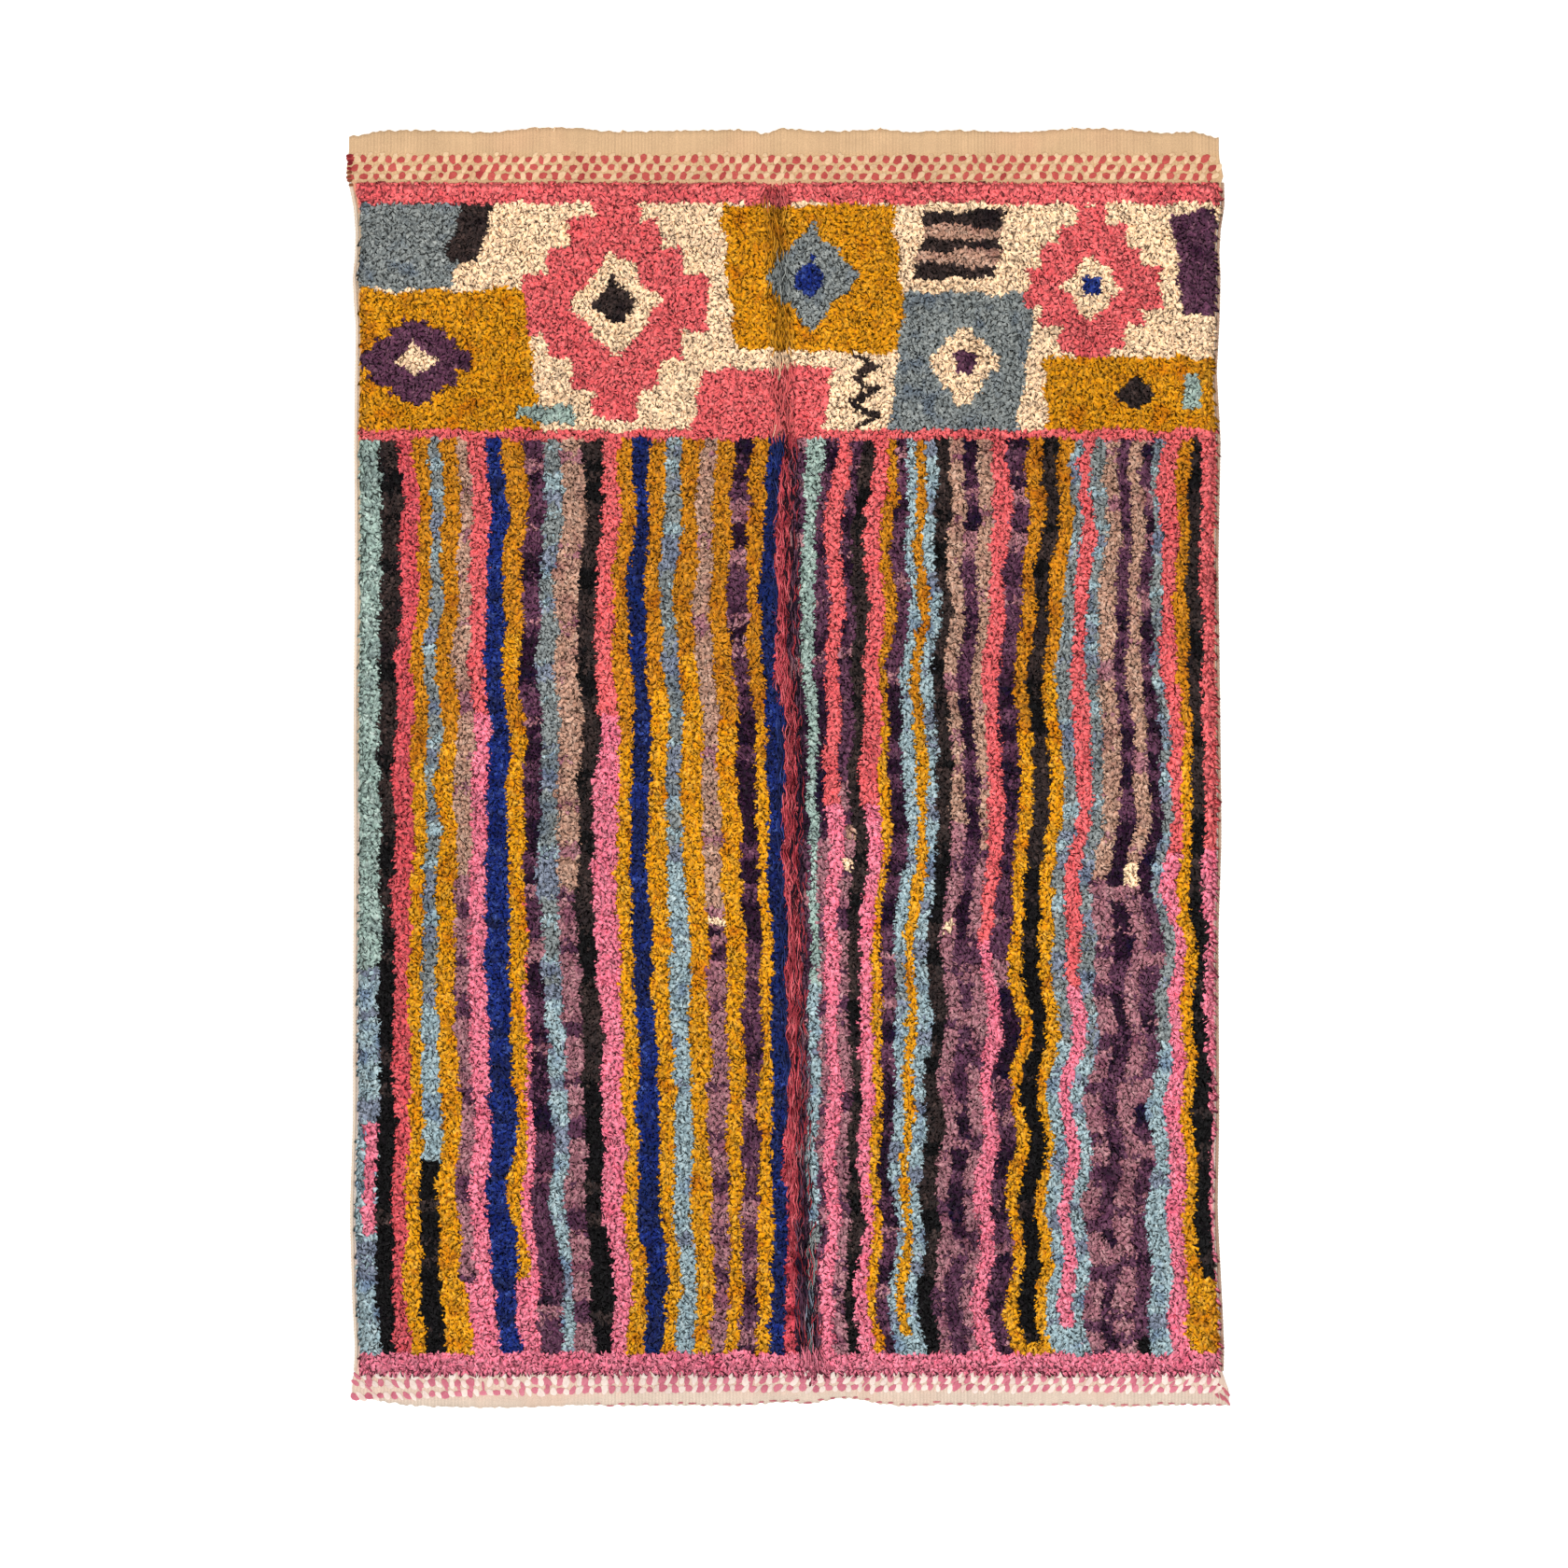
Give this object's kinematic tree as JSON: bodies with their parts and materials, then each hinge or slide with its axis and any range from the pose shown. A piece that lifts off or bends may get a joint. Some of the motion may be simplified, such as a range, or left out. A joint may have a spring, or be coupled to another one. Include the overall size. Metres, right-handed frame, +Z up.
{
  "type": "berber rug",
  "caption": "Hand-knotted berber rug lying flat: soft striped wool pile with a patterned panel at one end, a lengthwise fold crease, flat-woven ends with dotted bands and overcast side edges.",
  "frame": {"origin": "centre of the footprint, on the floor", "axes": "+X across the rug's width, +Y along its length towards the end with the patterned panel, +Z up from the floor through the pile"},
  "size_m": [2.0413, 2.9574, 0.0229],
  "materials": {
    "knotted_wool": "soft hand-spun wool pile in stripes of pink, mustard, grey-blue, plum, taupe, navy, charcoal and mint",
    "selvedge_wool": "overcast wool yarn, matte cream"
  },
  "bodies": {
    "root": {"knotted_rug": "knotted_wool", "selvedge_left": "selvedge_wool", "selvedge_right": "selvedge_wool"}
  },
  "joints": []
}
